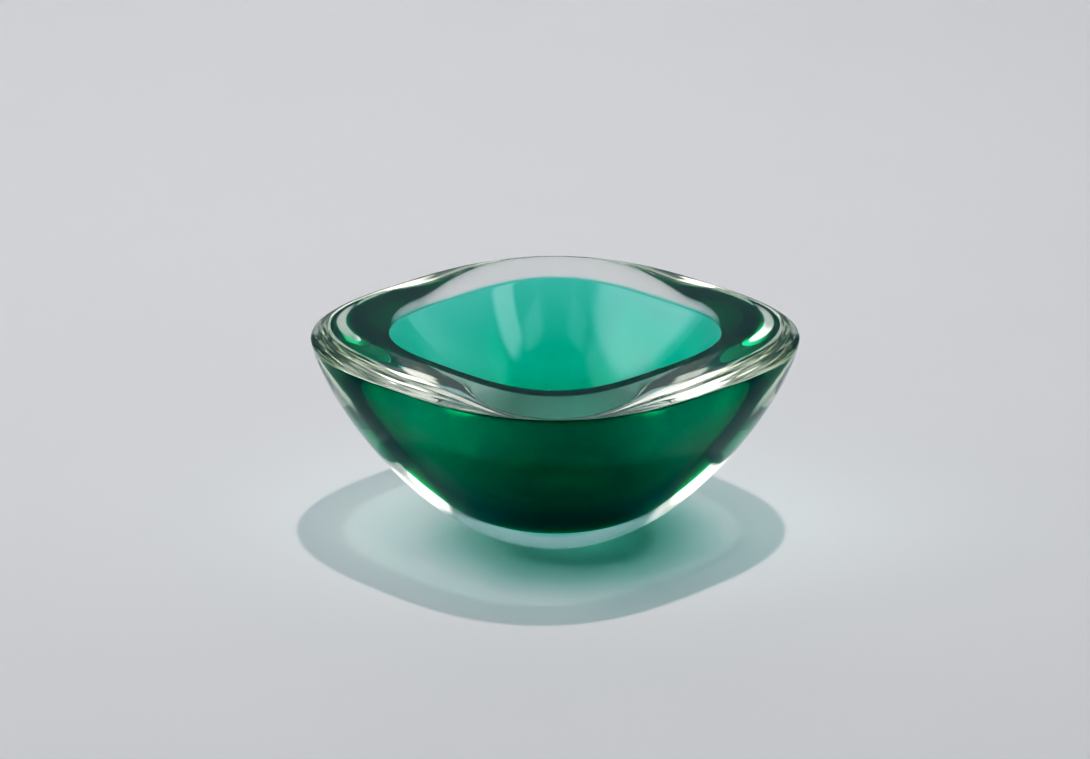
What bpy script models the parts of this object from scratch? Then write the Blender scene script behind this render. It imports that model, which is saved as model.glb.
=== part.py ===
"""Cased art glass bowl: thick clear glass fused round a thin green glass cup.

The bowl stands on its ground base with the origin at the middle of that base,
+Z up.  Its plan is a rounded square, corners on the X and Y axes.  Metres.
"""

import math

import bmesh
import bpy

MM = 0.001

# Outer body.  A half diagonal is the distance from the centre to a corner.
HEIGHT = 48.6 * MM
RIM_HALF_DIAGONAL = 60.0 * MM
BASE_HALF_DIAGONAL = 20.5 * MM
RIM_ARRIS_RADIUS = 0.6 * MM
# Curve of the wall between base and rim: how it steepens, and how it leaves the base.
WALL_STEEPENING = 1.38
WALL_FLARE = 1.33
# Squareness of the plan: 2 is a circle, and a higher value is squarer.
BASE_SQUARENESS = 2.3
RIM_SQUARENESS = 2.7

# Green cup.  Its hollow is the bowl's inside.
CUP_HALF_DIAGONAL = 43.0 * MM
CUP_DEPTH = 32.7 * MM
CUP_WALL_AT_RIM = 2.4 * MM
CUP_WALL_AT_BOTTOM = 5.5 * MM
CUP_CURVE = 2.29
CUP_BOTTOM_SQUARENESS = 2.0
CUP_RIM_SQUARENESS = 3.2
# The hand-worked cup sits a little off the middle of the rim.
CUP_OFFSET_Y = 0.8 * MM

# Clearance that keeps the two fused layers apart as separate solids.
FUSED_GAP = 0.3 * MM
# The cup wall leans at the rim, so the level gap there is a little wider.
FUSED_GAP_LEVEL = 0.35 * MM

# Fineness of the surfaces.
POINTS_ROUND = 80
WALL_STEPS = 16
CUP_STEPS = 14
ARRIS_STEPS = 3
# Steps are closer together near the base, where the wall turns most.
WALL_STEP_CROWDING = 1.6
SHARP_ANGLE = math.radians(35.0)


def plan_reach(angle, squareness):
    """Reach of the rounded square at an angle, as a fraction of its half diagonal."""
    turned = angle - math.pi / 4.0
    along = abs(math.cos(turned)) ** squareness
    across = abs(math.sin(turned)) ** squareness
    corner_reach = 2.0 ** (0.5 - 1.0 / squareness)
    return (along + across) ** (-1.0 / squareness) / corner_reach


def ring(half_diagonal, squareness, height, offset_y=0.0):
    """One level ring of points round the bowl."""
    points = []
    for index in range(POINTS_ROUND):
        angle = 2.0 * math.pi * index / POINTS_ROUND
        reach = half_diagonal * plan_reach(angle, squareness)
        points.append((reach * math.cos(angle), reach * math.sin(angle) + offset_y, height))
    return points


def wall_half_diagonal(height):
    """Half diagonal of the outer wall at a height above the base."""
    rise = height / HEIGHT
    spread = (1.0 - (1.0 - rise) ** WALL_STEEPENING) ** (1.0 / WALL_FLARE)
    return BASE_HALF_DIAGONAL + (RIM_HALF_DIAGONAL - BASE_HALF_DIAGONAL) * spread


def outer_rings():
    """Rings of the outer body, from the edge of the base to the flat of the rim."""
    rings = []
    wall_top = HEIGHT - RIM_ARRIS_RADIUS
    for step in range(WALL_STEPS + 1):
        rise = (step / WALL_STEPS) ** WALL_STEP_CROWDING
        height = wall_top * rise
        squareness = BASE_SQUARENESS + (RIM_SQUARENESS - BASE_SQUARENESS) * rise
        rings.append(ring(wall_half_diagonal(height), squareness, height))
    arris_centre = wall_half_diagonal(wall_top) - RIM_ARRIS_RADIUS
    for step in range(1, ARRIS_STEPS + 1):
        turn = 0.5 * math.pi * step / ARRIS_STEPS
        half_diagonal = arris_centre + RIM_ARRIS_RADIUS * math.cos(turn)
        rings.append(ring(half_diagonal, RIM_SQUARENESS, wall_top + RIM_ARRIS_RADIUS * math.sin(turn)))
    return rings


def cup_rings(half_diagonal, depth):
    """Rings of a cup-shaped surface, from just above its lowest point to the rim."""
    rings = []
    for step in range(1, CUP_STEPS + 1):
        reach = step / CUP_STEPS
        rise = reach ** CUP_CURVE
        height = HEIGHT - depth * (1.0 - rise)
        squareness = CUP_BOTTOM_SQUARENESS + (CUP_RIM_SQUARENESS - CUP_BOTTOM_SQUARENESS) * rise
        rings.append(ring(half_diagonal * reach, squareness, height, CUP_OFFSET_Y))
    return rings


def cup_lowest(depth):
    """Lowest point of a cup-shaped surface."""
    return (0.0, CUP_OFFSET_Y, HEIGHT - depth)


def glass(name, colour, roughness):
    """Polished glass with its body colour."""
    material = bpy.data.materials.new(name)
    material.use_nodes = True
    shader = material.node_tree.nodes["Principled BSDF"]
    shader.inputs["Base Color"].default_value = (*colour, 1.0)
    shader.inputs["Roughness"].default_value = roughness
    shader.inputs["Metallic"].default_value = 0.0
    shader.inputs["Transmission Weight"].default_value = 1.0
    shader.inputs["IOR"].default_value = 1.5
    return material


def closed_solid(name, first_point, rings, last_point, material):
    """One closed body through a run of rings, with a point closing each end."""
    surface = bmesh.new()
    first = surface.verts.new(first_point)
    loops = [[surface.verts.new(point) for point in points] for points in rings]
    last = surface.verts.new(last_point)
    for index in range(POINTS_ROUND):
        following = (index + 1) % POINTS_ROUND
        surface.faces.new((first, loops[0][following], loops[0][index]))
        for lower, upper in zip(loops, loops[1:]):
            surface.faces.new((lower[index], lower[following], upper[following], upper[index]))
        surface.faces.new((last, loops[-1][index], loops[-1][following]))
    bmesh.ops.recalc_face_normals(surface, faces=surface.faces)
    mesh = bpy.data.meshes.new(name)
    surface.to_mesh(mesh)
    surface.free()
    mesh.shade_smooth()
    mesh.set_sharp_from_angle(angle=SHARP_ANGLE)
    mesh.materials.append(material)
    piece = bpy.data.objects.new(name, mesh)
    bpy.context.scene.collection.objects.link(piece)
    return piece


def build_clear_casing():
    """Thick clear body: ground base, flared wall, flat polished rim, and the seat of the cup."""
    seat_depth = CUP_DEPTH + FUSED_GAP
    seat = cup_rings(CUP_HALF_DIAGONAL + FUSED_GAP_LEVEL, seat_depth)
    rings = outer_rings() + seat[::-1]
    material = glass("polished_clear_glass", (0.86, 0.91, 0.87), 0.02)
    return closed_solid("clear_casing", (0.0, 0.0, 0.0), rings, cup_lowest(seat_depth), material)


def build_green_cup():
    """Thin green layer that lines the bowl, cut level with the rim."""
    outside = cup_rings(CUP_HALF_DIAGONAL, CUP_DEPTH)
    hollow_depth = CUP_DEPTH - CUP_WALL_AT_BOTTOM
    inside = cup_rings(CUP_HALF_DIAGONAL - CUP_WALL_AT_RIM, hollow_depth)
    rings = outside + inside[::-1]
    material = glass("polished_green_glass", (0.01, 0.45, 0.30), 0.03)
    return closed_solid("green_cup", cup_lowest(CUP_DEPTH), rings, cup_lowest(hollow_depth), material)


def main():
    for item in list(bpy.data.objects):
        bpy.data.objects.remove(item, do_unlink=True)
    build_clear_casing()
    build_green_cup()


main()
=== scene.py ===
"""Cased art glass bowl in a pale studio: clear glass over a green inner cup.

Laid out as an add-on with one operator for each piece of the bowl and one for
the studio, and run as a script.  Everything is in metres, in the bowl's own
frame: origin in the middle of the foot, +Z up.
"""

import math

import bmesh
import bpy
from bpy.props import FloatProperty, FloatVectorProperty, IntProperty, PointerProperty, StringProperty
from bpy.types import Operator, Panel, PropertyGroup
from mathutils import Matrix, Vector


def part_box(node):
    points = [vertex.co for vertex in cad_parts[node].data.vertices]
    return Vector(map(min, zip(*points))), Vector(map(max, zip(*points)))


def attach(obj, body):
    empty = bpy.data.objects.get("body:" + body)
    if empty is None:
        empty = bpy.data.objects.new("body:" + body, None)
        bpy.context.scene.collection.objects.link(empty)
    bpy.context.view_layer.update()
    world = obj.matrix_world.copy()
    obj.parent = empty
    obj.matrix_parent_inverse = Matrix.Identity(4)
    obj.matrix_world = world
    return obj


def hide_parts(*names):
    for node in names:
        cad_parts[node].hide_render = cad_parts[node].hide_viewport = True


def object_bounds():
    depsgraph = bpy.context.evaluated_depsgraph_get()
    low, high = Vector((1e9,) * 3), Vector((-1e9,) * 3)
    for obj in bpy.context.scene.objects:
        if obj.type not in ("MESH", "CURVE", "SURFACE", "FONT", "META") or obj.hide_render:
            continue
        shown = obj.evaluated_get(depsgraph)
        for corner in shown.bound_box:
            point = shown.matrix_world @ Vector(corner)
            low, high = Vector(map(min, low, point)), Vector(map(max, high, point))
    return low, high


bl_info = {
    "name": "Cased Art Glass Bowl",
    "version": (1, 0, 0),
    "blender": (4, 5, 0),
    "location": "View3D > Sidebar > Glass Bowl",
    "description": "Builds a cased glass bowl and the studio it stands in",
    "category": "Add Mesh",
}

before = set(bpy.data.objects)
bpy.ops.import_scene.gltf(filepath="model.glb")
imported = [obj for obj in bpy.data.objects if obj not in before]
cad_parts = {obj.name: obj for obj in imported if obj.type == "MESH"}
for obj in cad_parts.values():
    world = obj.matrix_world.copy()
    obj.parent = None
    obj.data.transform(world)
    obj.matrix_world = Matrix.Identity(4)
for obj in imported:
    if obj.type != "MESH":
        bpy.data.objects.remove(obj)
CAD_LOW, CAD_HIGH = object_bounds()
CUP_LOW, CUP_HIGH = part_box("green_cup")

MM = 0.001

# The polished edge of the rim stops this far short of its drawn corner.
EDGE_LOSS = 0.09 * MM
# Points along the outer wall, along each side of the cup, and round each small arc.
WALL_STEPS = 64
CUP_STEPS = 72
ARC_STEPS = 6
# Rings of points over the flat foot and the flat rim, as shares of their widths.
FOOT_RINGS = (0.35, 0.7, 0.97)
RIM_RINGS = (0.01, 0.1, 0.25, 0.4, 0.55, 0.7, 0.85, 0.96, 0.99)

# Rings of points in the gel, and steps in the paper's bend.
GEL_RINGS = 24
BEND_STEPS = 16
# Painted shadow: tint of the top lamp's light by distance from the middle of the green pool,
# where 1 is as far as the rim reaches, and then by ring, where 1 is the edge of the gel.
POOL_TINTS = (
    (0.08, "#3F9B8B"),
    (0.33, "#30675B"),
    (0.41, "#6F978F"),
    (0.50, "#90A8A4"),
    (0.60, "#AFBFBC"),
    (0.70, "#C8D4D3"),
    (0.80, "#D4E3E1"),
    (0.93, "#E2ECEB"),
)
RING_TINTS = (
    (0.00, "#FFFFFF"),
    (0.79, "#FFFFFF"),
    (0.82, "#ECE9EA"),
    (0.97, "#E6E3E5"),
    (1.00, "#E0E0E4"),
)

WHITE = (1.0, 1.0, 1.0)
SKY_BLUE = (0.62, 0.86, 1.0)
# Lights of the room, each facing the bowl: name, place, size, colour and radiance.
# They show in the glass and leave the paper to the top lamp.
ROOM_LIGHTS = (
    ("left_softbox", (-1.20, -0.08, 0.70), (1.15, 1.15), WHITE, 2.5),
    ("left_wall", (-0.86, 0.17, 0.95), (1.20, 1.00), WHITE, 1.1),
    ("left_front_panel", (-0.47, -0.47, 1.03), (0.50, 0.40), WHITE, 0.7),
    ("right_softbox", (1.14, -0.36, 1.00), (0.48, 1.12), WHITE, 3.2),
    ("right_wall", (0.86, 0.45, 0.75), (1.15, 1.00), WHITE, 0.9),
    ("right_front_panel", (0.47, -0.47, 1.03), (0.50, 0.40), WHITE, 1.2),
    ("ceiling_panel", (0.0, -0.08, 1.40), (2.40, 0.50), SKY_BLUE, 0.5),
)

# How the view shows deep tones: the levels of red, green and blue that turn black, and
# then the level given to each level that comes in, with the darkest pulled down.
BLACK_LEVELS = (0.053, 0.015, 0.015)
TONE_CURVE = ((0.08, 0.045), (0.20, 0.150), (0.42, 0.42), (0.70, 0.70))


# ---------------------------------------------------------------- colour and nodes


def linear(code):
    """An sRGB hex colour as linear red, green and blue."""
    parts = [int(code[place:place + 2], 16) / 255.0 for place in (1, 3, 5)]
    return [value / 12.92 if value <= 0.04045 else ((value + 0.055) / 1.055) ** 2.4 for value in parts]


def add(tree, kind, inputs=None, **settings):
    """Add a node; an input given a socket is linked, and any other is set."""
    node = tree.nodes.new(kind)
    for name, value in settings.items():
        setattr(node, name, value)
    for name, value in (inputs or {}).items():
        if isinstance(value, bpy.types.NodeSocket):
            tree.links.new(value, node.inputs[name])
        else:
            node.inputs[name].default_value = value
    return node


def new_tree(owner):
    """An empty node tree on a material, light or world."""
    owner.use_nodes = True
    owner.node_tree.nodes.clear()
    return owner.node_tree


# ---------------------------------------------------------------- sizes and colours


class GlassBowlShape(PropertyGroup):
    """Sizes of the blown and cut glass."""

    height: FloatProperty(
        name="Height",
        description="Foot to rim",
        default=CAD_HIGH.z,
        unit="LENGTH",
    )
    rim: FloatProperty(
        name="Rim",
        description="Centre of the rim to one of its four corners",
        default=CAD_HIGH.x + EDGE_LOSS,
        unit="LENGTH",
    )
    foot: FloatProperty(
        name="Foot",
        description="Centre of the ground foot to one of its corners",
        default=20.5 * MM,
        unit="LENGTH",
    )
    rim_arris: FloatProperty(
        name="Rim edge",
        description="Radius that the polisher leaves on the outer edge of the rim",
        default=0.6 * MM,
        unit="LENGTH",
    )
    mouth_arris: FloatProperty(
        name="Mouth edge",
        description="Radius on the edge between the rim and the hollow",
        default=0.5 * MM,
        unit="LENGTH",
    )
    wall_steepening: FloatProperty(
        name="Wall steepening",
        description="How strongly the wall turns upright towards the rim",
        default=1.38,
        min=1.0,
    )
    wall_flare: FloatProperty(
        name="Wall flare",
        description="How widely the wall leaves the foot",
        default=1.33,
        min=1.0,
    )
    foot_squareness: FloatProperty(
        name="Foot squareness",
        description="Plan of the foot: 2 is round, more is squarer",
        default=2.3,
        min=2.0,
    )
    rim_squareness: FloatProperty(
        name="Rim squareness",
        description="Plan of the rim: 2 is round, more is squarer",
        default=2.7,
        min=2.0,
    )
    cup: FloatProperty(
        name="Cup",
        description="Centre of the green cup to one of its corners at the rim",
        default=CUP_HIGH.x,
        unit="LENGTH",
    )
    cup_depth: FloatProperty(
        name="Cup depth",
        description="Rim to the underside of the green cup",
        default=CUP_HIGH.z - CUP_LOW.z,
        unit="LENGTH",
    )
    cup_offset: FloatProperty(
        name="Cup offset",
        description="How far the cup sits off the middle of the rim, along Y",
        default=0.5 * (CUP_HIGH.y + CUP_LOW.y),
        unit="LENGTH",
    )
    cup_wall_rim: FloatProperty(
        name="Green at the rim",
        description="Level thickness of the green layer at its cut edge",
        default=2.4 * MM,
        unit="LENGTH",
    )
    cup_wall_bottom: FloatProperty(
        name="Green at the bottom",
        description="Thickness of the green layer at the bottom of the hollow",
        default=5.5 * MM,
        unit="LENGTH",
    )
    cup_curve: FloatProperty(
        name="Cup curve",
        description="2 gives the cup a parabola's profile, more a flatter bottom",
        default=2.29,
        min=1.0,
    )
    cup_bottom_squareness: FloatProperty(
        name="Cup bottom squareness",
        description="Plan of the cup at its bottom: 2 is round, more is squarer",
        default=2.0,
        min=2.0,
    )
    cup_rim_squareness: FloatProperty(
        name="Cup rim squareness",
        description="Plan of the cup at the rim: 2 is round, more is squarer",
        default=3.2,
        min=2.0,
    )
    skin: FloatProperty(
        name="Fused skin",
        description="Depth under the polished surface at which the green layer starts",
        default=0.03 * MM,
        unit="LENGTH",
    )
    points_round: IntProperty(
        name="Points round",
        description="Points in each ring of the surface",
        default=288,
        min=16,
    )


class GlassBowlGlass(PropertyGroup):
    """Colours and polish of the glass."""

    index: FloatProperty(
        name="Refractive index",
        description="Soda-lime studio glass",
        default=1.5,
        min=1.0,
    )
    clear_tint: StringProperty(
        name="Clear tint",
        description="Colour left after light crosses a long way of clear glass, as sRGB hex",
        default="#E9ECE2",
    )
    clear_density: FloatProperty(
        name="Clear density",
        description="Absorption of the clear glass per metre",
        default=12.0,
    )
    green_tint: StringProperty(
        name="Green tint",
        description="Colour that the green layer lets through, as sRGB hex",
        default="#00EBDB",
    )
    green_density: FloatProperty(
        name="Green density",
        description="Absorption of the green layer per metre",
        default=780.0,
    )


class GlassBowlStudio(PropertyGroup):
    """Backdrop, lights and camera."""

    backdrop: StringProperty(
        name="Backdrop",
        description="Colour of the seamless paper, as sRGB hex",
        default="#D7D6DA",
    )
    camera_place: FloatVectorProperty(
        name="Camera place",
        description="Where the camera stands",
        default=(-0.0025, -0.9413, 0.3862),
        subtype="TRANSLATION",
        unit="LENGTH",
    )
    camera_dip: FloatProperty(
        name="Camera dip",
        description="How far the camera looks below the level",
        default=math.radians(20.38),
        subtype="ANGLE",
    )
    focal_length: FloatProperty(
        name="Focal length",
        description="In millimetres, on a frame 36 mm wide",
        default=134.7,
    )
    aim: FloatVectorProperty(
        name="Lamps' aim",
        description="Where every lamp points, in the middle of the bowl",
        default=(0.0, 0.0, 0.03),
        subtype="TRANSLATION",
        unit="LENGTH",
    )
    lamp_place: FloatVectorProperty(
        name="Top lamp place",
        description="Where the lamp that lights the paper hangs",
        default=(-0.14, 0.27, 1.5),
        subtype="TRANSLATION",
        unit="LENGTH",
    )
    lamp_width: FloatProperty(
        name="Top lamp width",
        description="Each side of the lamp that lights the paper",
        default=0.05,
        unit="LENGTH",
    )
    lamp_radiance: FloatProperty(
        name="Top lamp radiance",
        description="Radiance of the lamp that lights the paper",
        default=3100.0,
    )
    glint_place: FloatVectorProperty(
        name="Bulb place",
        description="Where the bulb that sparkles in the glass hangs",
        default=(0.12, 0.27, 1.5),
        subtype="TRANSLATION",
        unit="LENGTH",
    )
    glint_width: FloatProperty(
        name="Bulb width",
        description="Each side of the bulb that sparkles in the glass",
        default=0.03,
        unit="LENGTH",
    )
    glint_radiance: FloatProperty(
        name="Bulb radiance",
        description="Radiance of the bulb that sparkles in the glass",
        default=3000.0,
    )
    # Gel reach, gel offset and pool offset place the painted shadow and its green pool on the paper.
    gel_share: FloatProperty(
        name="Gel reach",
        description="Share of the rim that the gel reaches; the rounded edge throws its light inwards",
        default=0.975,
    )
    gel_offset: FloatVectorProperty(
        name="Gel offset",
        description="Puts the shadow round the foot, although the lamp hangs to one side",
        default=(-7.9 * MM, 2.5 * MM),
        size=2,
        unit="LENGTH",
    )
    pool_offset: FloatVectorProperty(
        name="Pool offset",
        description="How far the green pool leans to the right and the front inside the shadow",
        default=(9.0 * MM, -6.0 * MM),
        size=2,
        unit="LENGTH",
    )
    paper_gap: FloatProperty(
        name="Paper gap",
        description="A ground foot is never truly flat, so it stands this far clear of the paper",
        default=0.15 * MM,
        unit="LENGTH",
    )
    paper_bend: FloatProperty(
        name="Paper bend",
        description="Radius of the bend from the floor to the back",
        default=0.5,
        unit="LENGTH",
    )
    paper_back: FloatProperty(
        name="Paper back",
        description="Bowl to the upright back",
        default=1.1,
        unit="LENGTH",
    )
    paper_front: FloatProperty(
        name="Paper front",
        description="Bowl to the paper's front edge",
        default=2.5,
        unit="LENGTH",
    )
    paper_height: FloatProperty(
        name="Paper height",
        description="Top of the upright back",
        default=2.4,
        unit="LENGTH",
    )
    paper_half_width: FloatProperty(
        name="Paper half width",
        description="Middle of the paper to its sides",
        default=2.5,
        unit="LENGTH",
    )


# ---------------------------------------------------------------- shapes


def plan_reach(angle, squareness):
    """Reach of the rounded square at an angle, as a fraction of its half diagonal."""
    turned = angle - math.pi / 4.0
    along = abs(math.cos(turned)) ** squareness
    across = abs(math.sin(turned)) ** squareness
    corner_reach = 2.0 ** (0.5 - 1.0 / squareness)
    return (along + across) ** (-1.0 / squareness) / corner_reach


def rounded_corner(before, corner, after, radius, steps):
    """Points of an arc that rounds the corner of a profile, as (reach, height) pairs."""
    inward = (before[0] - corner[0], before[1] - corner[1])
    onward = (after[0] - corner[0], after[1] - corner[1])
    inward_length = math.hypot(*inward)
    onward_length = math.hypot(*onward)
    inward = (inward[0] / inward_length, inward[1] / inward_length)
    onward = (onward[0] / onward_length, onward[1] / onward_length)
    half_angle = 0.5 * math.acos(inward[0] * onward[0] + inward[1] * onward[1])
    setback = radius / math.tan(half_angle)
    middle = (inward[0] + onward[0], inward[1] + onward[1])
    middle_length = math.hypot(*middle)
    to_centre = radius / math.sin(half_angle) / middle_length
    centre = (corner[0] + middle[0] * to_centre, corner[1] + middle[1] * to_centre)
    start = (corner[0] + inward[0] * setback, corner[1] + inward[1] * setback)
    end = (corner[0] + onward[0] * setback, corner[1] + onward[1] * setback)
    start_angle = math.atan2(start[1] - centre[1], start[0] - centre[0])
    sweep = math.atan2(end[1] - centre[1], end[0] - centre[0]) - start_angle
    sweep = (sweep + math.pi) % (2.0 * math.pi) - math.pi
    points = []
    for step in range(steps + 1):
        turn = start_angle + sweep * step / steps
        points.append((centre[0] + radius * math.cos(turn), centre[1] + radius * math.sin(turn)))
    return points


def lofted_solid(name, stations, points_round, first_point, last_point):
    """A closed mesh through level rings given as (half diagonal, squareness, height, offset)."""
    surface = bmesh.new()
    ring_share = surface.verts.layers.float.new("ring")
    loops = []
    for half_diagonal, squareness, height, offset in stations:
        loop = []
        for index in range(points_round):
            angle = 2.0 * math.pi * index / points_round
            reach = half_diagonal * plan_reach(angle, squareness)
            point = surface.verts.new((reach * math.cos(angle), reach * math.sin(angle) + offset, height))
            point[ring_share] = half_diagonal
            loop.append(point)
        loops.append(loop)
    first = surface.verts.new(first_point)
    last = surface.verts.new(last_point)
    for index in range(points_round):
        following = (index + 1) % points_round
        surface.faces.new((first, loops[0][following], loops[0][index]))
        for lower, upper in zip(loops, loops[1:]):
            surface.faces.new((lower[index], lower[following], upper[following], upper[index]))
        surface.faces.new((last, loops[-1][index], loops[-1][following]))
    bmesh.ops.recalc_face_normals(surface, faces=surface.faces)
    mesh = bpy.data.meshes.new(name)
    surface.to_mesh(mesh)
    surface.free()
    mesh.shade_smooth()
    piece = bpy.data.objects.new(name, mesh)
    bpy.context.scene.collection.objects.link(piece)
    return piece


def wall_profile(shape):
    """Outer wall from the foot to just under the rim, as (half diagonal, height) pairs."""
    # The points crowd towards the foot, where the wall curves most.
    crowding = 1.8
    profile = []
    for step in range(WALL_STEPS + 1):
        rise = (step / WALL_STEPS) ** crowding * (1.0 - shape.rim_arris / shape.height)
        spread = (1.0 - (1.0 - rise) ** shape.wall_steepening) ** (1.0 / shape.wall_flare)
        profile.append((shape.foot + (shape.rim - shape.foot) * spread, rise * shape.height))
    return profile


def cup_profile(shape, half_diagonal, depth, top):
    """A cup-shaped surface from near its lowest point up to a level top, as (reach, height) pairs."""
    top_share = (1.0 - (shape.height - top) / depth) ** (1.0 / shape.cup_curve)
    profile = []
    for step in range(1, CUP_STEPS + 1):
        share = top_share * step / CUP_STEPS
        profile.append((half_diagonal * share, shape.height - depth * (1.0 - share ** shape.cup_curve)))
    return profile


def cup_squareness(shape, depth, height):
    """Squareness of the cup's plan at a height."""
    rise = min(max(1.0 - (shape.height - height) / depth, 0.0), 1.0)
    return shape.cup_bottom_squareness + (shape.cup_rim_squareness - shape.cup_bottom_squareness) * rise


# ---------------------------------------------------------------- glass


def polished_glass(name, shape, tint, density, index, waviness):
    """Blown glass, fire polished outside and wheel polished on the cut rim and foot.

    The eye gets a hard, wet gloss with slow ripples from the blowing, hair-fine
    wheel lines that follow the plan of the cut rim, and a foot dulled by use.
    """
    material = bpy.data.materials.new(name)
    tree = new_tree(material)
    place = add(tree, "ShaderNodeTexCoord").outputs["Object"]
    ring = add(tree, "ShaderNodeAttribute", attribute_name="ring").outputs["Fac"]
    height = add(tree, "ShaderNodeSeparateXYZ", {"Vector": place}).outputs["Z"]

    # The rim is flat to a hundredth of a millimetre, and the foot likewise.
    on_rim = add(tree, "ShaderNodeMapRange", {
        "Value": height,
        "From Min": shape.height - 0.05 * MM,
        "From Max": shape.height - 0.01 * MM,
    }).outputs["Result"]
    on_foot = add(tree, "ShaderNodeMapRange", {
        "Value": height,
        "From Min": 0.25 * MM,
        "From Max": 0.02 * MM,
    }).outputs["Result"]

    # Ripples left by the blowing are about 20 mm across.
    ripple = add(tree, "ShaderNodeTexNoise", {"Vector": place, "Scale": 1.0 / (20.0 * MM), "Detail": 1.0})
    # Wheel lines on the cut rim, 0.8 mm apart: coarser than a wheel's, so that they show.
    ring_number = add(tree, "ShaderNodeMath", {0: ring, 1: 1.0 / (0.8 * MM)}, operation="MULTIPLY")
    ring_place = add(tree, "ShaderNodeCombineXYZ", {"X": ring_number.outputs["Value"]})
    lines = add(tree, "ShaderNodeTexNoise", {
        "Vector": ring_place.outputs["Vector"],
        "Scale": 1.0,
        "Detail": 3.0,
    })
    line_share = add(tree, "ShaderNodeMath", {0: lines.outputs["Fac"], 1: on_rim}, operation="MULTIPLY")
    # Rubbing on tables scratches the foot at every angle, 0.5 mm apart.
    rubbing = add(tree, "ShaderNodeTexNoise", {
        "Vector": place,
        "Scale": 1.0 / (0.5 * MM),
        "Detail": 4.0,
        "Distortion": 1.5,
    })
    # Smears of handling come and go over 12 mm.
    smear = add(tree, "ShaderNodeTexNoise", {"Vector": place, "Scale": 1.0 / (12.0 * MM), "Detail": 5.0})

    smear_dull = add(tree, "ShaderNodeMapRange", {
        "Value": smear.outputs["Fac"],
        "From Min": 0.55,
        "From Max": 0.80,
        "To Min": 0.0,
        "To Max": 0.035,
    })
    foot_dull = add(tree, "ShaderNodeMapRange", {
        "Value": rubbing.outputs["Fac"],
        "From Min": 0.35,
        "From Max": 0.70,
        "To Min": 0.03,
        "To Max": 0.22,
    })
    foot_share = add(tree, "ShaderNodeMath", {
        0: foot_dull.outputs["Result"],
        1: on_foot,
    }, operation="MULTIPLY")
    roughness = add(tree, "ShaderNodeMath", {
        0: smear_dull.outputs["Result"],
        1: foot_share.outputs["Value"],
    }, operation="ADD")

    rippled = add(tree, "ShaderNodeBump", {
        "Strength": waviness,
        "Distance": 0.25 * MM,
        "Height": ripple.outputs["Fac"],
    })
    lined = add(tree, "ShaderNodeBump", {
        "Strength": 0.25,
        "Distance": 0.02 * MM,
        "Height": line_share.outputs["Value"],
        "Normal": rippled.outputs["Normal"],
    })
    surface = add(tree, "ShaderNodeBsdfPrincipled", {
        "Base Color": (1.0, 1.0, 1.0, 1.0),
        "Roughness": roughness.outputs["Value"],
        "IOR": index,
        "Transmission Weight": 1.0,
        "Normal": lined.outputs["Normal"],
    })
    body = add(tree, "ShaderNodeVolumeAbsorption", {"Color": (*linear(tint), 1.0), "Density": density})
    add(tree, "ShaderNodeOutputMaterial", {
        "Surface": surface.outputs["BSDF"],
        "Volume": body.outputs["Volume"],
    })
    return material


class GLASSBOWL_OT_clear_casing(Operator):
    """Blow the clear casing, cut its rim flat and grind its foot"""

    bl_idname = "glassbowl.clear_casing"
    bl_label = "Clear Casing"

    def execute(self, context):
        shape = context.scene.glass_bowl_shape
        glass = context.scene.glass_bowl_glass
        hollow = shape.cup - shape.cup_wall_rim
        hollow_depth = shape.cup_depth - shape.cup_wall_bottom

        stations = []
        wall = wall_profile(shape)
        for share in FOOT_RINGS:
            stations.append((shape.foot * share, shape.foot_squareness, 0.0, 0.0))
        for half_diagonal, height in wall[:-1]:
            rise = height / shape.height
            squareness = shape.foot_squareness + (shape.rim_squareness - shape.foot_squareness) * rise
            stations.append((half_diagonal, squareness, height, 0.0))

        rim_corner = (shape.rim, shape.height)
        mouth_corner = (hollow, shape.height)
        under_mouth_edge = shape.height - 0.9 * MM
        hollow_wall = cup_profile(shape, hollow, hollow_depth, under_mouth_edge)[::-1]
        outer_arc = rounded_corner(wall[-1], rim_corner, mouth_corner, shape.rim_arris, ARC_STEPS)
        mouth_arc = rounded_corner(rim_corner, mouth_corner, hollow_wall[0], shape.mouth_arris, ARC_STEPS)
        for half_diagonal, height in outer_arc:
            stations.append((half_diagonal, shape.rim_squareness, height, 0.0))

        # The flat of the rim turns from the rim's plan to the mouth's plan.
        flat_from = outer_arc[-1][0]
        flat_to = mouth_arc[0][0]
        for share in RIM_RINGS:
            squareness = shape.rim_squareness + (shape.cup_rim_squareness - shape.rim_squareness) * share
            half_diagonal = flat_from + (flat_to - flat_from) * share
            stations.append((half_diagonal, squareness, shape.height, shape.cup_offset * share))
        for half_diagonal, height in mouth_arc:
            stations.append((half_diagonal, shape.cup_rim_squareness, height, shape.cup_offset))
        for half_diagonal, height in hollow_wall:
            squareness = cup_squareness(shape, hollow_depth, height)
            stations.append((half_diagonal, squareness, height, shape.cup_offset))

        lowest = (0.0, shape.cup_offset, shape.height - hollow_depth)
        piece = lofted_solid("clear_casing_glass", stations, shape.points_round, (0.0, 0.0, 0.0), lowest)
        tint = glass.clear_tint
        density = glass.clear_density
        material = polished_glass("blown_clear_soda_glass", shape, tint, density, glass.index, waviness=0.1)
        piece.data.materials.append(material)
        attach(piece, "root")
        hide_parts("clear_casing")
        return {"FINISHED"}


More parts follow.
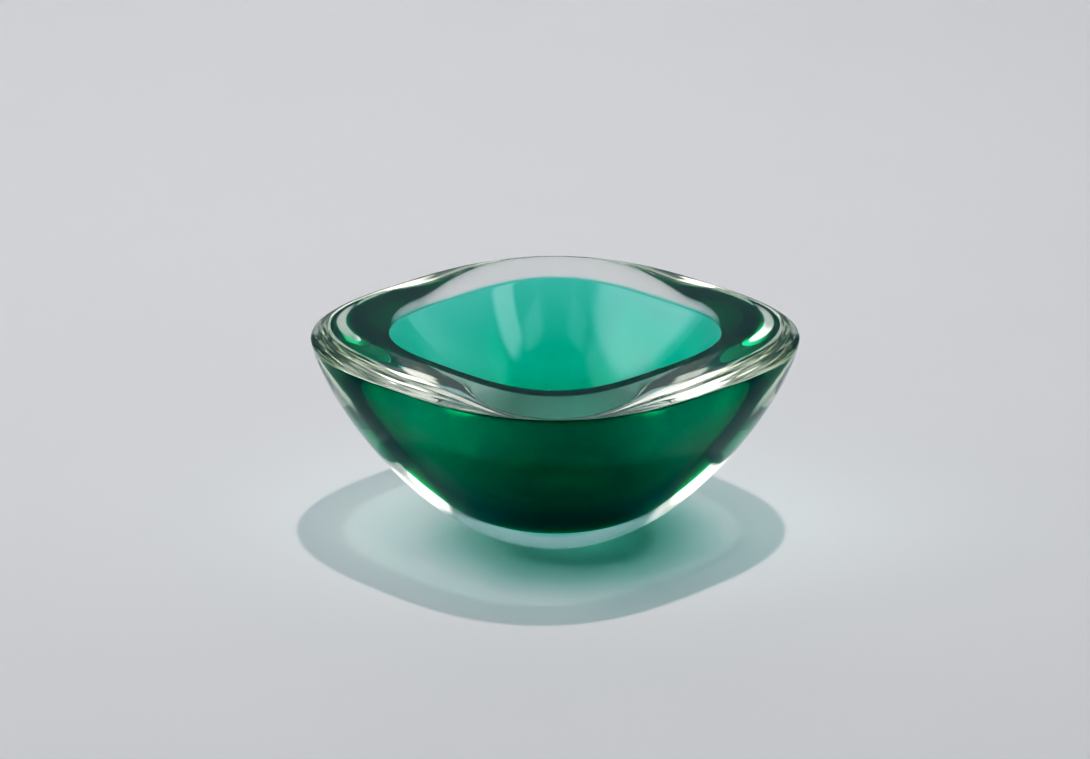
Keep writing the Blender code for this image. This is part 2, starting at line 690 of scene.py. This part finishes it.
class GLASSBOWL_OT_green_cup(Operator):
    """Lay the green layer round the hollow, cut level with the rim"""

    bl_idname = "glassbowl.green_cup"
    bl_label = "Green Cup"

    def execute(self, context):
        shape = context.scene.glass_bowl_shape
        glass = context.scene.glass_bowl_glass
        top = shape.height - shape.skin
        hollow = shape.cup - shape.cup_wall_rim + shape.skin
        hollow_depth = shape.cup_depth - shape.cup_wall_bottom + shape.skin
        outside = cup_profile(shape, shape.cup, shape.cup_depth, top)
        inside = cup_profile(shape, hollow, hollow_depth, top - shape.mouth_arris)[::-1]
        edge = rounded_corner(outside[-1], (hollow, top), inside[0], shape.mouth_arris, ARC_STEPS)

        stations = []
        for half_diagonal, height in outside:
            squareness = cup_squareness(shape, shape.cup_depth, height)
            stations.append((half_diagonal, squareness, height, shape.cup_offset))
        for half_diagonal, height in edge:
            stations.append((half_diagonal, shape.cup_rim_squareness, height, shape.cup_offset))
        for half_diagonal, height in inside:
            squareness = cup_squareness(shape, hollow_depth, height)
            stations.append((half_diagonal, squareness, height, shape.cup_offset))

        underside = (0.0, shape.cup_offset, shape.height - shape.cup_depth)
        lowest = (0.0, shape.cup_offset, shape.height - hollow_depth)
        piece = lofted_solid("green_cup_glass", stations, shape.points_round, underside, lowest)
        # Where two glasses fuse there is no surface for light to meet, hence an index of 1.
        tint = glass.green_tint
        density = glass.green_density
        material = polished_glass("fused_green_glass", shape, tint, density, index=1.0, waviness=0.0)
        piece.data.materials.append(material)
        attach(piece, "root")
        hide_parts("green_cup")
        return {"FINISHED"}


# ---------------------------------------------------------------- studio


def seamless_paper(colour):
    """Matt background paper, whose fibres leave a faint mottle."""
    material = bpy.data.materials.new("matt_seamless_paper")
    tree = new_tree(material)
    place = add(tree, "ShaderNodeTexCoord").outputs["Object"]
    # Pulp clouds 60 mm across, 1.5 % to either side of the paper's colour.
    mottle = add(tree, "ShaderNodeTexNoise", {"Vector": place, "Scale": 1.0 / (60.0 * MM), "Detail": 6.0})
    mottle_depth = 0.015
    base = linear(colour)
    tone = add(tree, "ShaderNodeMix", {
        "Factor": mottle.outputs["Fac"],
        "A": (*[(1.0 - mottle_depth) * value for value in base], 1.0),
        "B": (*[(1.0 + mottle_depth) * value for value in base], 1.0),
    }, data_type="RGBA")
    surface = add(tree, "ShaderNodeBsdfPrincipled", {
        "Base Color": tone.outputs["Result"],
        "Roughness": 0.9,
        "Specular IOR Level": 0.2,
    })
    add(tree, "ShaderNodeOutputMaterial", {"Surface": surface.outputs["BSDF"]})
    return material


def softbox(name, place, aim, size, radiance, colour=WHITE, edge=0.25):
    """A diffused lamp pointing at a place, dimming over its outer share, edge, as a diffuser does."""
    lamp = bpy.data.lights.new(name, "AREA")
    lamp.shape = "RECTANGLE"
    lamp.size, lamp.size_y = size
    # The lamp's power gives its face the radiance asked for.
    lamp.energy = radiance * math.pi * size[0] * size[1]
    lamp.color = colour
    tree = new_tree(lamp)
    across = add(tree, "ShaderNodeSeparateXYZ", {
        "Vector": add(tree, "ShaderNodeNewGeometry").outputs["Parametric"],
    })
    fades = []
    for axis in ("X", "Y"):
        inset = add(tree, "ShaderNodeMath", {0: across.outputs[axis], 1: 0.5}, operation="PINGPONG")
        fades.append(add(tree, "ShaderNodeMapRange", {
            "Value": inset.outputs["Value"],
            "From Max": edge,
        }, interpolation_type="SMOOTHSTEP").outputs["Result"])
    glow = add(tree, "ShaderNodeMath", {0: fades[0], 1: fades[1]}, operation="MULTIPLY")
    emission = add(tree, "ShaderNodeEmission", {"Strength": glow.outputs["Value"]})
    add(tree, "ShaderNodeOutputLight", {"Surface": emission.outputs["Emission"]})
    stand = bpy.data.objects.new(name, lamp)
    bpy.context.scene.collection.objects.link(stand)
    stand.location = place
    stand.rotation_euler = (Vector(aim) - Vector(place)).to_track_quat("-Z", "Y").to_euler()
    return stand


def colour_ramp(tree, factor, stops):
    """The colour of a ramp through (place, sRGB hex) stops."""
    ramp = add(tree, "ShaderNodeValToRGB", {"Fac": factor})
    elements = ramp.color_ramp.elements
    while len(elements) < len(stops):
        elements.new(0.5)
    for element, (place, colour) in zip(elements, stops):
        element.position = place
        element.color = (*linear(colour), 1.0)
    return ramp.outputs["Color"]


def painted_shadow_tint(shape, studio):
    """Painted shadow colour: the tint light through cased glass would have, green from the cup, ringed with
    pale from the casing.
    """
    material = bpy.data.materials.new("painted_glass_shadow")
    tree = new_tree(material)
    place = add(tree, "ShaderNodeTexCoord").outputs["Object"]
    from_pool = add(tree, "ShaderNodeVectorMath", {
        0: place,
        1: (*studio.pool_offset, 0.0),
    }, operation="DISTANCE")
    # Painted shadow: the pool's edge wanders by a few millimetres over 25 mm, as uneven glass would make it.
    wander = add(tree, "ShaderNodeTexNoise", {"Vector": place, "Scale": 1.0 / (25.0 * MM), "Detail": 2.0})
    pool_share = add(tree, "ShaderNodeMapRange", {"Value": from_pool.outputs["Value"], "From Max": shape.rim})
    wandered = add(tree, "ShaderNodeMath", {
        0: wander.outputs["Fac"],
        1: 0.12,
        2: pool_share.outputs["Result"],
    }, operation="MULTIPLY_ADD")
    ring = add(tree, "ShaderNodeAttribute", attribute_name="ring").outputs["Fac"]
    tint = add(tree, "ShaderNodeMix", {
        "Factor": 1.0,
        "A": colour_ramp(tree, wandered.outputs["Value"], POOL_TINTS),
        "B": colour_ramp(tree, ring, RING_TINTS),
    }, data_type="RGBA", blend_type="MULTIPLY")
    gel = add(tree, "ShaderNodeBsdfTransparent", {"Color": tint.outputs["Result"]})
    add(tree, "ShaderNodeOutputMaterial", {"Surface": gel.outputs["BSDF"]})
    return material


def tinted_shadow_gel(shape, studio):
    """Painted shadow that the top lamp throws round the bowl, tinted as light through the glass would be.

    A flat sheet in the plan of the rim that only lamp light meets, standing in for the bowl's own shadow:
    painted green where the light would come through the cup, pale where it would come through clear glass.
    """
    surface = bmesh.new()
    ring_share = surface.verts.layers.float.new("ring")
    loops = []
    for step in range(1, GEL_RINGS + 1):
        loop = []
        for index in range(shape.points_round):
            angle = 2.0 * math.pi * index / shape.points_round
            share = step / GEL_RINGS
            reach = studio.gel_share * shape.rim * share * plan_reach(angle, shape.rim_squareness)
            point = surface.verts.new((reach * math.cos(angle), reach * math.sin(angle), 0.0))
            point[ring_share] = share
            loop.append(point)
        loops.append(loop)
    middle = surface.verts.new((0.0, 0.0, 0.0))
    for index in range(shape.points_round):
        following = (index + 1) % shape.points_round
        surface.faces.new((middle, loops[0][index], loops[0][following]))
        for inner, outer in zip(loops, loops[1:]):
            surface.faces.new((inner[index], outer[index], outer[following], inner[following]))
    mesh = bpy.data.meshes.new("shadow_gel")
    surface.to_mesh(mesh)
    surface.free()
    mesh.materials.append(painted_shadow_tint(shape, studio))
    sheet = bpy.data.objects.new("shadow_gel", mesh)
    # The painted shadow is set round the foot, not where the lamp would throw it.
    sheet.location = (*studio.gel_offset, shape.height)
    sheet.visible_camera = False
    sheet.visible_diffuse = False
    sheet.visible_glossy = False
    sheet.visible_transmission = False
    bpy.context.scene.collection.objects.link(sheet)
    return sheet


def hang_paper(studio):
    """Seamless sweep: level floor, a quarter bend and an upright back."""
    floor = -studio.paper_gap
    bend = studio.paper_bend
    profile = [(-studio.paper_front, floor), (-1.0, floor), (0.0, floor)]
    for step in range(BEND_STEPS + 1):
        turn = 0.5 * math.pi * step / BEND_STEPS
        along = studio.paper_back - bend + bend * math.sin(turn)
        profile.append((along, bend - bend * math.cos(turn) + floor))
    profile.append((studio.paper_back, studio.paper_height))
    surface = bmesh.new()
    rows = []
    for across in (-studio.paper_half_width, studio.paper_half_width):
        rows.append([surface.verts.new((across, depth, rise)) for depth, rise in profile])
    for index in range(len(profile) - 1):
        surface.faces.new((rows[0][index], rows[1][index], rows[1][index + 1], rows[0][index + 1]))
    mesh = bpy.data.meshes.new("seamless_sweep")
    surface.to_mesh(mesh)
    surface.free()
    mesh.shade_smooth()
    mesh.materials.append(seamless_paper(studio.backdrop))
    sweep = bpy.data.objects.new("seamless_sweep", mesh)
    bpy.context.scene.collection.objects.link(sweep)
    return sweep


def light_bowl(studio, sweep, gel):
    """Room lights that only the glass shows, and one top lamp that lights the paper through the gel."""
    for name, place, size, colour, radiance in ROOM_LIGHTS:
        light = softbox(name, place, studio.aim, size, radiance, colour)
        light.visible_diffuse = False
    # One bare bulb beside the top lamp sparkles on the polished edges.
    bulb_size = (studio.glint_width, studio.glint_width)
    glint = softbox("glint_lamp", studio.glint_place, studio.aim, bulb_size, studio.glint_radiance, edge=0.1)
    glint.visible_diffuse = False
    lamp_size = (studio.lamp_width, studio.lamp_width)
    key = softbox("top_lamp", studio.lamp_place, studio.aim, lamp_size, studio.lamp_radiance, edge=0.1)
    lit = bpy.data.collections.new("lit_by_top_lamp")
    lit.objects.link(sweep)
    key.light_linking.receiver_collection = lit
    # Only the gel shades the top lamp, so the bowl casts none of this shadow; the gel paints it.
    shading = bpy.data.collections.new("shades_top_lamp")
    shading.objects.link(gel)
    key.light_linking.blocker_collection = shading


def room_around():
    """The rest of the room: pale behind the bowl and low down, and dark elsewhere."""
    world = bpy.data.worlds.new("room")
    tree = new_tree(world)
    direction = add(tree, "ShaderNodeTexCoord").outputs["Generated"]
    # The brightest part of the room lies behind the bowl, a little to the left.
    toward = add(tree, "ShaderNodeVectorMath", {
        0: direction,
        1: (-0.33, 0.94, 0.0),
    }, operation="DOT_PRODUCT")
    # The room is dark towards the camera's side and pale over the paper.
    pale = add(tree, "ShaderNodeMapRange", {
        "Value": toward.outputs["Value"],
        "From Min": 0.0,
        "From Max": 0.8,
        "To Min": 0.13,
        "To Max": 0.60,
    }, interpolation_type="SMOOTHSTEP")
    # Walls lit by the paper make a pale band low down, all the way round.
    rise = add(tree, "ShaderNodeSeparateXYZ", {"Vector": direction}).outputs["Z"]
    low_band = add(tree, "ShaderNodeMapRange", {
        "Value": rise,
        "From Min": 0.25,
        "From Max": 0.60,
        "To Min": 0.80,
        "To Max": 0.12,
    }, interpolation_type="SMOOTHSTEP")
    room = add(tree, "ShaderNodeMath", {
        0: pale.outputs["Result"],
        1: low_band.outputs["Result"],
    }, operation="MAXIMUM")
    surroundings = add(tree, "ShaderNodeBackground", {
        "Color": (0.96, 0.97, 1.0, 1.0),
        "Strength": room.outputs["Value"],
    })
    add(tree, "ShaderNodeOutputWorld", {"Surface": surroundings.outputs["Background"]})
    world.cycles_visibility.diffuse = False
    return world


def studio_camera(studio):
    """The camera, level from side to side and looking a little down."""
    camera_data = bpy.data.cameras.new("studio_camera")
    camera_data.lens = studio.focal_length
    camera_data.sensor_width = 36.0
    camera_data.clip_start = 0.01
    camera = bpy.data.objects.new("studio_camera", camera_data)
    bpy.context.scene.collection.objects.link(camera)
    camera.location = studio.camera_place
    camera.rotation_euler = (math.pi / 2.0 - studio.camera_dip, 0.0, 0.0)
    return camera


class GLASSBOWL_OT_studio(Operator):
    """Hang the paper, place the lamps and set up the camera"""

    bl_idname = "glassbowl.studio"
    bl_label = "Studio"

    def execute(self, context):
        scene = context.scene
        studio = scene.glass_bowl_studio
        sweep = hang_paper(studio)
        gel = tinted_shadow_gel(scene.glass_bowl_shape, studio)
        light_bowl(studio, sweep, gel)
        scene.world = room_around()
        scene.camera = studio_camera(studio)

        scene.view_settings.view_transform = "Standard"
        scene.view_settings.use_curve_mapping = True
        contrast = scene.view_settings.curve_mapping
        contrast.black_level = BLACK_LEVELS
        all_colours = contrast.curves[3]
        for level, shown in TONE_CURVE:
            all_colours.points.new(level, shown)
        contrast.update()

        # Light crosses the thick glass many times before it leaves.
        scene.cycles.max_bounces = 32
        scene.cycles.transmission_bounces = 32
        scene.cycles.glossy_bounces = 16
        scene.cycles.transparent_max_bounces = 16
        return {"FINISHED"}


# ---------------------------------------------------------------- panel and start


STEPS = (GLASSBOWL_OT_clear_casing, GLASSBOWL_OT_green_cup, GLASSBOWL_OT_studio)
GROUPS = (
    (GlassBowlShape, "glass_bowl_shape"),
    (GlassBowlGlass, "glass_bowl_glass"),
    (GlassBowlStudio, "glass_bowl_studio"),
)


class GLASSBOWL_PT_panel(Panel):
    """Lists the pieces of the bowl and the studio"""

    bl_idname = "GLASSBOWL_PT_panel"
    bl_label = "Glass Bowl"
    bl_space_type = "VIEW_3D"
    bl_region_type = "UI"
    bl_category = "Glass Bowl"

    def draw(self, context):
        for group, name in GROUPS:
            box = self.layout.box()
            for setting in group.__annotations__:
                box.prop(getattr(context.scene, name), setting)
        for step in STEPS:
            self.layout.operator(step.bl_idname)


def register():
    for group, name in GROUPS:
        bpy.utils.register_class(group)
        setattr(bpy.types.Scene, name, PointerProperty(type=group))
    for step in STEPS:
        bpy.utils.register_class(step)
    bpy.utils.register_class(GLASSBOWL_PT_panel)


def unregister():
    bpy.utils.unregister_class(GLASSBOWL_PT_panel)
    for step in reversed(STEPS):
        bpy.utils.unregister_class(step)
    for group, name in reversed(GROUPS):
        delattr(bpy.types.Scene, name)
        bpy.utils.unregister_class(group)


def main():
    """Build the bowl and its studio."""
    register()
    bpy.ops.glassbowl.clear_casing()
    bpy.ops.glassbowl.green_cup()
    bpy.ops.glassbowl.studio()


if __name__ == "__main__":
    main()
